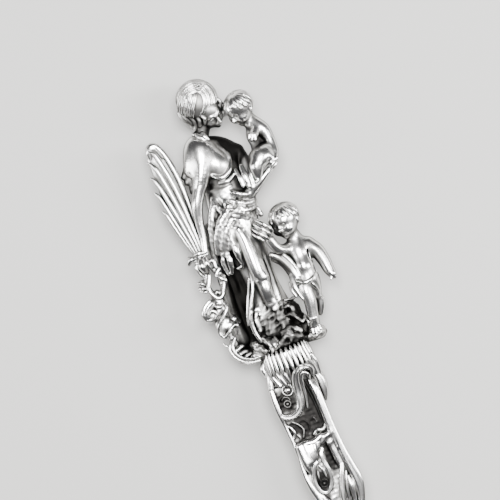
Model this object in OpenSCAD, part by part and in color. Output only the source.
// Figural souvenir spoon in cast and raised silver, in millimetres.
// It lies on its back: +Y runs along the handle from the bowl's tip to the figure's crown,
// +Z is up and out of the front of the figure, and the table is the plane z = 0.
// The origin is under the middle of the whole spoon.

/* [Overall] */
// Length of the whole spoon, from the bowl's tip to the figure's crown
spoon_len = 180; // [165:1:200]
// Height of the figure group above the capital
finial_h = 48; // [40:0.5:54]

/* [Bowl] */
// Length of the bowl
bowl_len = 60; // [50:1:68]
// Width of the bowl
bowl_w = 38; // [32:1:46]
// Depth of the bowl, rim to underside
bowl_depth = 9; // [7:0.5:11]
// Thickness of the bowl's sheet
bowl_wall = 1.2; // [0.8:0.1:1.6]
// How much wider the bowl is towards its heel, as a share of its half width
bowl_egg = 0.16; // [0:0.02:0.24]
// Length of the leaf-shaped drop under the heel
drop_len = 17; // [12:1:22]
// Width of the drop
drop_w = 9; // [6:0.5:12]
// Thickness of the drop
drop_t = 0.9; // [0.6:0.1:1.2]

/* [Handle] */
// Radius of the shaft at its slimmest
shaft_r = 1.7; // [1.4:0.1:2.1]
// Length of the cast rococo stem
stem_len = 30; // [25:1:36]
// Greatest width of the cast stem
stem_w = 9.7; // [8:0.1:11.6]
// Thickness of the cast stem
stem_t = 4.6; // [3.8:0.1:5.6]
// Depth of the stem's sunk front panel
panel_sink = 0.8; // [0.5:0.1:1.1]
// Width of the rim left round the panel
panel_rim = 0.9; // [0.6:0.1:1.2]
// Length of the knop between stem and shaft
knop_h = 3; // [2.5:0.1:4]
// Radius of the knop
knop_r = 2.9; // [2.6:0.1:3.5]

/* [Capital] */
// Height of the gadrooned capital
cap_h = 5; // [4:0.25:6]
// Radius of the capital at its lip
cap_r = 4.5; // [3.8:0.1:5.4]
// Number of gadroons round the capital
gadroons = 20; // [14:1:24]

/* [Joints] */
// Radius of the peg that carries the figure group
peg_r = 1.2; // [1:0.05:1.4]
// Radius of the shaft's tenon
tenon_r = 1.1; // [0.9:0.05:1.3]
// Depth of each blind socket
socket_depth = 4; // [3:0.25:5]
// Solder gap round a peg or tenon
solder_gap = 0.05; // [0.02:0.01:0.1]

/* [Hidden] */

silver = [0.80, 0.80, 0.78];
dark_silver = [0.55, 0.55, 0.54];

// The figure group is drawn 48 high and set to finial_h. Its back rests on the table.
drawn_h = 48;
drawn_back = 6;
group_x = 0.8;
k = finial_h / drawn_h;
axis_z = drawn_back * k;
crown_y = spoon_len / 2;
cap_y = crown_y - finial_h;
stem_y = cap_y - cap_h;
knop_y = stem_y - stem_len;
shaft_y = knop_y - knop_h;
tip_y = -spoon_len / 2;
heel_y = tip_y + bowl_len;
bowl_y = tip_y + bowl_len / 2;
panel_z = stem_t / 2 - panel_sink;
body_fn = 12;
fine_fn = 16;
eps = 0.01;

// ---------- helpers ----------

// A sphere at p = [x, y, z, radius]
module ball(p, fn = body_fn) {
    translate([p[0], p[1], p[2]]) sphere(r = p[3], $fn = fn);
}

// Tapered round limbs joined through a list of [x, y, z, radius]
module limb(points, fn = body_fn) {
    for (i = [0:len(points) - 2])
        hull() {
            ball(points[i], fn);
            ball(points[i + 1], fn);
        }
}

// One closed skin round all the given balls
module mass(points, fn = body_fn) {
    hull()
        for (p = points) ball(p, fn);
}

// Places what is drawn in figure units on the handle's axis above the capital
module on_capital() {
    translate([group_x * k, cap_y, axis_z]) scale(k) children();
}

// A point of a smooth curve through p1 and p2, at share t between them
function bend(p0, p1, p2, p3, t) =
    0.5 * (2 * p1 + (p2 - p0) * t + (2 * p0 - 5 * p1 + 4 * p2 - p3) * t * t
           + (3 * p1 - p0 - 3 * p2 + p3) * t * t * t);

// A smooth open curve through all of p, with n steps between points
function smooth(p, n) = [
    for (i = [0:len(p) - 2], j = [0:n - 1])
        bend(p[max(i - 1, 0)], p[i], p[i + 1], p[min(i + 2, len(p) - 1)], j / n),
    p[len(p) - 1]
];

// ---------- bowl ----------

bowl_steps = 48;
bowl_rings = 8;
// Sine of the angle where the egg outline is widest, and how far it passes the half width there
egg_at = bowl_egg == 0 ? 0 : (sqrt(1 + 8 * bowl_egg * bowl_egg) - 1) / (4 * bowl_egg);
egg_over = sqrt(1 - egg_at * egg_at) * (1 + bowl_egg * egg_at);

// Half a bowl's skin: its points from rim to middle, grown by g all round
function bowl_skin(g, depth) = [
    for (j = [0:bowl_rings - 1], i = [0:bowl_steps - 1])
        let (q = 1 - j / bowl_rings, a = 360 * i / bowl_steps)
        [q * (bowl_w / 2 + g) * cos(a) * (1 + bowl_egg * sin(a)) / egg_over,
         q * (bowl_len / 2 + g) * sin(a),
         bowl_depth - depth * pow(1 - q * q, 0.72)],
    [0, 0, bowl_depth - depth]
];

function ring_faces(flip, base) = [
    for (j = [0:bowl_rings - 2], i = [0:bowl_steps - 1])
        let (a = base + j * bowl_steps + i, b = base + j * bowl_steps + (i + 1) % bowl_steps,
             c = b + bowl_steps, d = a + bowl_steps)
        each flip ? [[a, c, b], [a, d, c]] : [[a, b, c], [a, c, d]],
    for (i = [0:bowl_steps - 1])
        let (a = base + (bowl_rings - 1) * bowl_steps + i,
             b = base + (bowl_rings - 1) * bowl_steps + (i + 1) % bowl_steps,
             m = base + bowl_rings * bowl_steps)
        flip ? [a, m, b] : [a, b, m]
];

// The bowl as if it were filled to its rim
module bowl_filled(g = 0, depth = bowl_depth) {
    translate([0, bowl_y, 0])
        polyhedron(points = bowl_skin(g, depth),
                   faces = concat([[for (i = [bowl_steps - 1:-1:0]) i]], ring_faces(false, 0)),
                   convexity = 4);
}

module bowl() {
    outer = bowl_skin(0, bowl_depth);
    inner = bowl_skin(-bowl_wall, bowl_depth - bowl_wall);
    shift = len(outer);
    rim = [
        for (i = [0:bowl_steps - 1])
            let (n = (i + 1) % bowl_steps)
            each [[i, shift + n, n], [i, shift + i, shift + n]]
    ];
    color(silver)
        translate([0, bowl_y, 0])
            polyhedron(points = concat(outer, inner),
                       faces = concat(ring_faces(false, 0), ring_faces(true, shift), rim),
                       convexity = 6);
}

module heel_drop() {
    leaf = smooth([[0.5, 1], [0.42, 0.8], [0.3, 0.5], [0.16, 0.22], [0, 0]], 4);
    outline = concat([for (p = leaf) [p[0] * drop_w, p[1]]],
                     [for (i = [len(leaf) - 2:-1:0]) [-leaf[i][0] * drop_w, leaf[i][1]]]);
    color(silver)
        difference() {
            intersection() {
                bowl_filled(drop_t, bowl_depth + drop_t);
                translate([0, heel_y - drop_len, -1])
                    linear_extrude(bowl_depth + 0.4)
                        polygon([for (p = outline) [p[0], p[1] * (drop_len + 2 * drop_t)]]);
            }
            bowl_filled();
            shaft_solid();
        }
}

// ---------- handle ----------

shaft_end = [0, heel_y - 1.5 * bowl_wall, bowl_depth - shaft_r - 0.5];

// The shaft rises from the handle's axis to just under the bowl's rim
function shaft_point(t) =
    let (s = t * t * (3 - 2 * t))
    [0, shaft_y + (shaft_end[1] - shaft_y) * t, axis_z + (shaft_end[2] - axis_z) * s,
     shaft_r * (1 + 0.3 * pow(1 - t, 4) + 0.12 * pow(t, 3))];

module shaft_solid() {
    steps = 6;
    difference() {
        for (i = [0:steps - 1])
            hull() {
                ball(shaft_point(i / steps), 24);
                ball(shaft_point((i + 1) / steps), 24);
            }
        translate([-knop_r, shaft_y, 0]) cube([2 * knop_r, 2 * knop_r, 4 * axis_z]);
    }
}

module shaft() {
    color(silver) {
        difference() {
            shaft_solid();
            bowl_filled();
        }
        translate([0, shaft_y - eps, axis_z]) rotate([-90, 0, 0])
            cylinder(r = tenon_r, h = knop_h + socket_depth - solder_gap, $fn = 32);
    }
}

module knop() {
    color(silver)
        translate([0, shaft_y, axis_z]) rotate([-90, 0, 0])
            difference() {
                rotate_extrude($fn = 64)
                    polygon(concat([[0, 0]],
                                   smooth([[0.78 * knop_r, 0], [0.86 * knop_r, 0.18 * knop_h],
                                           [knop_r, 0.36 * knop_h], [knop_r, 0.6 * knop_h],
                                           [0.86 * knop_r, 0.8 * knop_h], [0.8 * knop_r, knop_h]], 4),
                                   [[0, knop_h]]));
                translate([0, 0, -1]) cylinder(r = tenon_r + solder_gap, h = knop_h + 2, $fn = 32);
            }
}

// Edge of the stem as [share of stem_w, share of stem_len below the capital]
stem_left = [[-0.48, 0], [-0.535, 0.13], [-0.5, 0.21], [-0.455, 0.33], [-0.49, 0.5],
             [-0.42, 0.64], [-0.34, 0.8], [-0.26, 0.92], [-0.22, 1]];
stem_right = [[0.22, 1], [0.26, 0.92], [0.32, 0.83], [0.44, 0.7], [0.465, 0.63],
              [0.41, 0.53], [0.35, 0.4], [0.32, 0.28], [0.33, 0.15], [0.4, 0]];

// A stem point in the plan, from its shares
function on_stem(u, v) = [u * stem_w, stem_y - v * stem_len];

module stem_outline() {
    polygon([for (p = concat(smooth(stem_left, 3), smooth(stem_right, 3))) on_stem(p[0], p[1])]);
}

module stem_casting() {
    color(silver)
        difference() {
            translate([0, 0, axis_z - stem_t / 2]) linear_extrude(stem_t) stem_outline();
            translate([0, 0, axis_z + panel_z])
                linear_extrude(stem_t)
                    offset(delta = -panel_rim) stem_outline();
            translate([0, knop_y - eps, axis_z]) rotate([-90, 0, 0])
                cylinder(r = tenon_r + solder_gap, h = socket_depth, $fn = 32);
            translate([0, stem_y - socket_depth, axis_z]) rotate([-90, 0, 0])
                cylinder(r = peg_r + solder_gap, h = socket_depth + eps, $fn = 32);
        }
}

// The raised rim round the stem's panel
module stem_rim() {
    translate([0, 0, axis_z + panel_z - 1])
        linear_extrude(panel_sink + 1)
            difference() {
                square(4 * spoon_len, center = true);
                offset(delta = -panel_rim) stem_outline();
            }
}

// Half-round relief on the stem's panel: points are [share across, share down, height, radius]
module relief(points, fn = body_fn) {
    difference() {
        for (i = [0:len(points) - 2])
            hull()
                for (p = [points[i], points[i + 1]])
                    let (q = on_stem(p[0], p[1]))
                    ball([q[0], q[1], axis_z + panel_z + p[2], p[3]], fn);
        translate([-stem_w, knop_y - 1, axis_z + panel_z - stem_t]) cube([2 * stem_w, stem_len + 2, stem_t]);
        translate([-stem_w, stem_y, 0]) cube([2 * stem_w, cap_h, 4 * axis_z]);
        stem_rim();
    }
}

scroll_upper = [[0.24, 0.02, 0.5, 0.45], [0.16, -0.02, 0.6, 0.5], [0.07, 0.01, 0.6, 0.55],
                [-0.02, 0.08, 0.55, 0.6], [-0.05, 0.15, 0.5, 0.6], [-0.1, 0.19, 0.4, 0.6],
                [-0.2, 0.215, 0.4, 0.65], [-0.32, 0.21, 0.3, 0.6], [-0.41, 0.17, 0.3, 0.55]];
scroll_lower = [[0.2, 0.5, 0.4, 0.45], [0.12, 0.57, 0.5, 0.5], [0.05, 0.66, 0.5, 0.55],
                [0.03, 0.76, 0.5, 0.55], [0.08, 0.84, 0.4, 0.5], [0.15, 0.86, 0.3, 0.42],
                [0.19, 0.82, 0.3, 0.36]];

module stem_scroll_upper() {
    color(silver) relief(scroll_upper);
}

module stem_scroll_lower() {
    color(silver) relief(scroll_lower);
}

module stem_leaf() {
    color(silver) {
        relief([[-0.33, 0.32, 0.1, 1.1], [-0.31, 0.4, 0.2, 1.0], [-0.34, 0.47, 0.1, 0.4]]);
        relief([[-0.2, 0.31, 0.2, 1.2], [-0.19, 0.38, 0.3, 1.0], [-0.2, 0.44, 0.1, 0.4]]);
        relief([[-0.08, 0.32, 0.1, 1.0], [-0.06, 0.4, 0.2, 0.8], [-0.03, 0.47, 0.1, 0.4]]);
    }
}

// An oval frame round the lowest bead
module stem_cartouche() {
    oval = [for (i = [0:12]) [-0.18 + 0.17 * cos(30 * i), 0.575 + 0.068 * sin(30 * i), 0.25, 0.42]];
    color(silver) relief(oval);
}

// A leaf wrapped on the right flank of the stem, just under the capital
module side_leaf() {
    leaf = [[0.37, 0.03, 0.3, 0.5], [0.41, 0.08, 0.2, 0.75], [0.4, 0.13, 0, 0.7], [0.365, 0.19, -0.3, 0.35]];
    color(silver)
        difference() {
            for (i = [0:len(leaf) - 2])
                hull()
                    for (p = [leaf[i], leaf[i + 1]])
                        let (q = on_stem(p[0], p[1]))
                        ball([q[0], q[1], axis_z + p[2], p[3]], 16);
            translate([0, 0, axis_z - stem_t / 2 - 1]) linear_extrude(stem_t + 2) stem_outline();
        }
}

module stem_beads() {
    color(silver)
        for (b = [[-0.21, 0.065, 0.8], [-0.29, 0.125, 0.55], [-0.19, 0.575, 0.7]])
            let (q = on_stem(b[0], b[1]))
            translate([q[0], q[1], axis_z + panel_z]) {
                cylinder(r = b[2], h = 0.3, $fn = 32);
                translate([0, 0, 0.25])
                    intersection() {
                        sphere(r = 0.68 * b[2], $fn = 32);
                        translate([-2, -2, 0]) cube(4);
                    }
            }
}

module capital() {
    neck_r = 0.78 * cap_r;
    lip_h = 0.14 * cap_h;
    lobe_r = 0.82 * PI * cap_r / gadroons;
    color(silver)
        translate([0, stem_y, axis_z]) rotate([-90, 0, 0])
            difference() {
                union() {
                    rotate_extrude($fn = 96)
                        polygon(concat([[0, 0]],
                                       smooth([[neck_r, 0], [0.8 * cap_r, 0.2 * cap_h],
                                               [0.86 * cap_r, 0.5 * cap_h], [0.92 * cap_r, 0.8 * cap_h]], 3),
                                       [[0.92 * cap_r, cap_h], [0, cap_h]]));
                    for (i = [0:gadroons - 1])
                        rotate([0, 0, 360 * i / gadroons])
                            translate([0.88 * cap_r, 0, 0.42 * cap_h])
                                cylinder(r1 = 0.7 * lobe_r, r2 = lobe_r, h = 0.58 * cap_h - lip_h, $fn = 24);
                    translate([0, 0, cap_h - lip_h]) cylinder(r = cap_r, h = lip_h, $fn = 96);
                }
                translate([0, 0, -1]) cylinder(r = peg_r + solder_gap, h = cap_h + 2, $fn = 32);
            }
}

peg_rise = 2.6;

module finial_peg() {
    color(dark_silver)
        translate([0, stem_y - socket_depth + solder_gap, axis_z]) rotate([-90, 0, 0])
            cylinder(r = peg_r, h = socket_depth + cap_h + peg_rise - 2 * solder_gap, $fn = 32);
}

// ---------- figure group ----------
// Every list below is in figure units: x across, y up from the capital, z out of the front.

module peg_hole() {
    translate([0, cap_y - 1, axis_z]) rotate([-90, 0, 0])
        cylinder(r = peg_r + solder_gap, h = peg_rise + 1, $fn = 32);
}

module below_table() {
    translate([-spoon_len, -spoon_len, -spoon_len]) cube([2 * spoon_len, 2 * spoon_len, spoon_len]);
}

module above_capital() {
    translate([-spoon_len, cap_y, -spoon_len]) cube(2 * spoon_len);
}

module ground_solid() {
    intersection() {
        on_capital() {
            mass([[-4.6, 0.4, -3.6, 1.2], [3, 0.4, -3.8, 1.2], [-5.4, 0.6, 1.8, 1.2], [3.4, 0.4, 3, 1.2],
                  [-2, 1.4, -4.4, 1.5], [1.6, 1.4, 2.6, 1.4]]);
            mass([[3.4, 0.9, 1.6, 1.1], [5.8, 1.4, 1.4, 1.0], [5.6, 1.4, -1.8, 1.0], [3, 0.9, -3, 1.3]]);
            mass([[-5.2, 1.2, 1.4, 1.3], [-7.2, 2.2, 0.6, 1.0], [-7, 2.2, -2.4, 1.2], [-4, 1, -3.4, 1.4]]);
            mass([[-1.4, 2.6, -0.6, 1.6], [2.6, 3.2, -0.8, 1.5], [3.6, 2, -1.4, 1.3], [0, 4, -2.4, 1.6]]);
            mass([[1.8, 3, 0, 1.2], [2.7, 6.2, -0.8, 1.1], [4.4, 2.2, -1.2, 0.9]]);
        }
        above_capital();
    }
}

module ground() {
    color(dark_silver)
        difference() {
            ground_solid();
            peg_hole();
            below_table();
        }
}

module shell_scroll_solid() {
    on_capital() {
        limb([[-7.2, 5.6, 0.6, 0.5], [-8.5, 4.7, 1.0, 0.6], [-9.1, 3.4, 1.1, 0.7], [-8.6, 2.0, 1.1, 0.75],
              [-7.3, 0.9, 1.2, 0.75], [-6, 0.8, 1, 0.6]]);
        limb([[-8.5, 4.7, 1.0, 0.5], [-8.4, 4.4, -1.8, 0.7]]);
        mass([[-8.4, 4.4, -1.8, 0.7], [-7.4, 2.2, -2.8, 0.9], [-8.4, 2.6, 0.4, 0.9]]);
    }
}

module shell_scroll() {
    color(silver)
        intersection() {
            difference() {
                shell_scroll_solid();
                ground_solid();
            }
            above_capital();
        }
}

module bracket_solid() {
    on_capital() {
        limb([[-8.7, 17.2, 0.6, 0.7], [-9.3, 15.8, 0.8, 0.6], [-9.2, 14.2, 0.9, 0.6], [-8.6, 12.7, 0.8, 0.6],
              [-7.8, 12.2, 0.6, 0.6], [-6.6, 13.4, 0.6, 0.6], [-6.2, 15, 0.5, 0.6], [-6.8, 16.6, 0.4, 0.6],
              [-8.7, 17.2, 0.6, 0.7]]);
        limb([[-9.2, 15.4, 0.8, 0.5], [-10.2, 15.2, 0.9, 0.6]]);
        limb([[-8.2, 12.4, 0.6, 0.6], [-9.4, 11.8, 0.9, 0.8], [-10.6, 11, 1.0, 0.9], [-10.6, 9.8, 1.1, 0.9],
              [-9.6, 9.6, 1.2, 0.8]]);
        limb([[-7.8, 12.2, 0.6, 0.6], [-7.2, 10.8, 0.7, 0.6], [-8.2, 9.2, 0.8, 0.7], [-9.6, 7.8, 1.0, 0.7],
              [-9.9, 6.4, 1.0, 0.6]]);
        limb([[-8.6, 8.6, 0.2, 1.2], [-8.8, 6.8, 0.2, 1.1], [-7.4, 7.2, 0.4, 0.9], [-6.8, 6.4, 0.6, 0.5]]);
        limb([[-8.8, 6.8, -0.2, 0.9], [-8.2, 4.4, -0.2, 0.8]]);
    }
}

module rocaille_bracket() {
    color(silver)
        difference() {
            bracket_solid();
            right_arm_solid();
            shell_scroll_solid();
            ground_solid();
            woman_solid();
            cloak_solid();
        }
}

module woman_solid() {
    on_capital() {
        ball([0.5, 44.3, 0.4, 3.72], fine_fn);
        mass([[0.6, 43.6, 0.6, 3.2], [1.9, 40.6, 1.6, 1.1]], fine_fn);
        limb([[0.8, 41.2, 0.2, 1.3], [-0.2, 37.8, -0.3, 1.5]]);
        limb([[-2.9, 36.6, -0.4, 1.3], [0.5, 37, -0.5, 1.6], [4, 36.2, -0.8, 1.3]]);
        mass([[-1.4, 34.4, 0, 2.1], [2.4, 34.2, -0.2, 2.1], [-0.6, 28.8, 0.1, 2.1], [1, 29, 0, 2]]);
        ball([0.1, 32.9, 1.8, 1.45]);
        ball([3, 32.7, 1.6, 1.45]);
        mass([[-0.6, 28.6, 0.1, 2.2], [-2.4, 23.4, 0.1, 2.6], [1, 23.4, 0.1, 2.5]]);
        limb([[-2.2, 22.4, 0.4, 2.5], [-2.5, 13.2, 1, 1.6], [-3.5, 4.4, 0.5, 0.95], [-2.1, 2.1, 2.4, 0.8]]);
        limb([[0.6, 22.6, 0.8, 2.3], [-0.1, 12.9, 2.6, 1.5], [0.5, 5.4, 1.4, 1.1]]);
        limb([[4, 36.1, -0.7, 1.25], [3.4, 27, 0.8, 1.1], [7.2, 28.9, 2, 0.75], [8.2, 29.6, 2.2, 0.6]]);
        limb([[-4, 22.6, -0.4, 1.9], [-5.4, 16.6, -0.2, 1.1]]);
        limb([[-3.2, 21, 1.6, 1.4], [-4.3, 15.8, 1.4, 0.7]]);
        limb([[2.1, 24.4, 0, 1.4], [1.3, 15, 0.2, 1.0], [1.1, 5, 0.2, 1.2]]);
        limb([[-1.5, 15.4, 1.8, 0.7], [-2.8, 10.5, 1.7, 0.6], [-4.1, 6.6, 1.5, 0.6], [-3.9, 3.6, 1.4, 0.6]]);
    }
}

module woman_figure() {
    color(silver)
        difference() {
            woman_solid();
            ground_solid();
            peg_hole();
        }
}

module cloak_solid() {
    on_capital() {
        mass([[-3.4, 36.4, -1.6, 1.2], [3.8, 35.8, -1.8, 1.2], [-3, 26, -2.2, 1.4], [2, 26, -2, 1.3]]);
        mass([[-2.2, 38.2, -1, 0.9], [-4.4, 36.6, -1, 0.8], [-6.2, 33.4, -0.6, 0.7], [-5.4, 30.6, -0.4, 0.8],
              [-2.6, 33, -1.2, 1]]);
        limb([[-0.8, 26.4, -2.4, 1.4], [-0.6, 14, -3.2, 1.5], [-0.8, 2, -4.2, 1.6]]);
        limb([[2, 26, -2, 1.3], [1.8, 14, -3.2, 1.3], [2.2, 2.4, -4.6, 1.9]]);
        limb([[-3, 26, -2.2, 1.4], [-3.2, 14, -3.2, 1.3], [-3.8, 2.4, -4.6, 1.9]]);
        limb([[-4.8, 24, -1.6, 1.2], [-5.4, 14, -2.6, 1.1], [-5.8, 3, -3.2, 1.5]]);
        limb([[-6.1, 20.4, -0.8, 0.8], [-6.4, 13, -1.8, 0.8], [-6.8, 4, -2.2, 1.1]]);
    }
}

module cloak() {
    color(dark_silver)
        difference() {
            cloak_solid();
            woman_solid();
            ground_solid();
            shell_scroll_solid();
            peg_hole();
            below_table();
        }
}

module right_arm_solid() {
    on_capital() {
        limb([[-2.3, 36, 0, 1.5], [-3.4, 32.6, 0.6, 1.3], [-5.2, 29.2, 1, 1.05], [-6.4, 26.4, 1, 0.9],
              [-7, 23, 1, 0.8], [-7.5, 20.2, 1, 0.7]]);
        mass([[-7.6, 19.6, 1, 0.9], [-8.9, 19, 1.2, 0.9], [-8.7, 17.8, 1.2, 0.9], [-8, 18.4, 0.2, 0.9]]);
        limb([[-9, 19.2, 1, 0.6], [-10.3, 19.8, 1, 0.6]]);
    }
}

module right_arm() {
    color(silver)
        difference() {
            right_arm_solid();
            woman_solid();
            cloak_solid();
        }
}

// Leaflets of the palm, each from its base to its tip
frond = [
    [[-7.7, 19.4, 0.6, 0.4], [-7.4, 26, 0.5, 0.6], [-7.7, 33, 0.4, 0.65], [-8.4, 37.6, 0.4, 0.65], [-9.8, 39.8, 0.5, 0.7]],
    [[-7.9, 19.4, 0.7, 0.4], [-8.1, 26, 0.8, 0.55], [-8.7, 33, 0.8, 0.6], [-9.5, 38.6, 0.8, 0.6]],
    [[-8.2, 19.4, 0.8, 0.4], [-8.7, 26, 1.0, 0.55], [-9.5, 32, 1.0, 0.6], [-10.9, 37.3, 0.8, 0.35]],
    [[-8.5, 19.4, 0.8, 0.4], [-9.2, 25, 1.0, 0.55], [-10.2, 30.6, 0.9, 0.6], [-11.5, 35.1, 0.7, 0.35]],
    [[-8.8, 19.4, 0.7, 0.4], [-9.6, 24.4, 0.8, 0.55], [-10.6, 28.6, 0.7, 0.55], [-11.7, 32.4, 0.5, 0.35]],
    [[-9, 19.4, 0.5, 0.4], [-9.9, 23.4, 0.5, 0.5], [-10.7, 26.4, 0.4, 0.5], [-11.6, 29.3, 0.3, 0.35]]
];

module palm_frond() {
    color(silver)
        difference() {
            on_capital()
                for (leaflet = frond) limb(leaflet);
            right_arm_solid();
        }
}

module held_child_solid() {
    on_capital() {
        mass([[6.5, 41.3, 1.2, 2.1], [6.4, 40.2, 1.4, 1.8]], fine_fn);
        limb([[6.9, 38.6, 0.8, 1], [7.3, 36.6, 0.6, 1.5], [7.5, 33.6, 0.9, 1.8], [7.7, 31.4, 1.2, 1.8]]);
        limb([[8.5, 36.8, 0.6, 0.95], [9.8, 33.6, 0.8, 0.75], [9.3, 30.7, 1.8, 0.65]]);
        limb([[6.6, 36.2, 1.6, 0.8], [5.6, 35.1, 2.6, 0.7], [3.6, 36, 2.2, 0.6]]);
        limb([[8, 31.2, 1.8, 1.35], [5.6, 31.4, 3, 1], [5, 28.4, 3, 0.65]]);
        limb([[6.6, 31, 1, 1.2], [4.7, 30.4, 2.4, 0.85], [4, 28, 2.6, 0.6]]);
    }
}

module held_child() {
    color(silver)
        difference() {
            held_child_solid();
            woman_solid();
        }
}

module standing_child_solid() {
    on_capital() {
        mass([[7.1, 21.1, 1.2, 2.3], [6.8, 19.8, 1.5, 1.9]], fine_fn);
        limb([[7.1, 18.6, 0.9, 1], [7.1, 16.4, 0.3, 1.3]]);
        limb([[5.4, 15.8, 0.5, 1.1], [8.8, 15.6, 0.1, 1.15]]);
        mass([[6.2, 14.6, 0.4, 1.5], [8, 14.6, 0.2, 1.5], [7.4, 11.6, 0.6, 1.7]]);
        limb([[7.4, 11.4, 0.5, 1.7], [7.5, 9.8, 0.2, 1.6]]);
        limb([[9, 15.4, 0, 1.05], [10.9, 13, -0.1, 0.85], [11.4, 10, 0.4, 0.65], [11.2, 8.9, 0.6, 0.5]]);
        limb([[5.2, 15.8, 0.7, 0.95], [3.9, 16.6, 2.2, 0.85], [3.4, 19.2, 3.1, 0.75], [2.5, 20.6, 3.2, 0.85]]);
        limb([[6.7, 9.7, 0.4, 1.4], [6.3, 6.6, 1, 1.05], [5.9, 3.4, 0.6, 0.75], [5.6, 2, 1.8, 0.7]]);
        limb([[8.1, 9.5, 0.2, 1.3], [8, 6.8, 0.5, 0.95], [7.3, 4.2, -0.8, 0.7]]);
    }
}

module standing_child() {
    color(silver)
        difference() {
            standing_child_solid();
            woman_solid();
            ground_solid();
        }
}

module sash() {
    color(silver)
        difference() {
            on_capital() {
                limb([[3.1, 15.6, 2.2, 0.5], [4.7, 14.6, 1.9, 0.6], [5.9, 12, 2.2, 0.6], [6.8, 9.9, 1.9, 0.75],
                      [8.3, 9.9, 1.5, 0.7], [9, 10.4, 0.4, 0.55]]);
                limb([[6.9, 9.8, 1.8, 0.7], [7.3, 7.6, 1.6, 0.5]]);
            }
            standing_child_solid();
            woman_solid();
        }
}

bowl();
heel_drop();
shaft();
knop();
stem_casting();
stem_scroll_upper();
stem_scroll_lower();
stem_leaf();
stem_cartouche();
side_leaf();
stem_beads();
capital();
finial_peg();
ground();
shell_scroll();
rocaille_bracket();
cloak();
woman_figure();
right_arm();
palm_frond();
held_child();
standing_child();
sash();
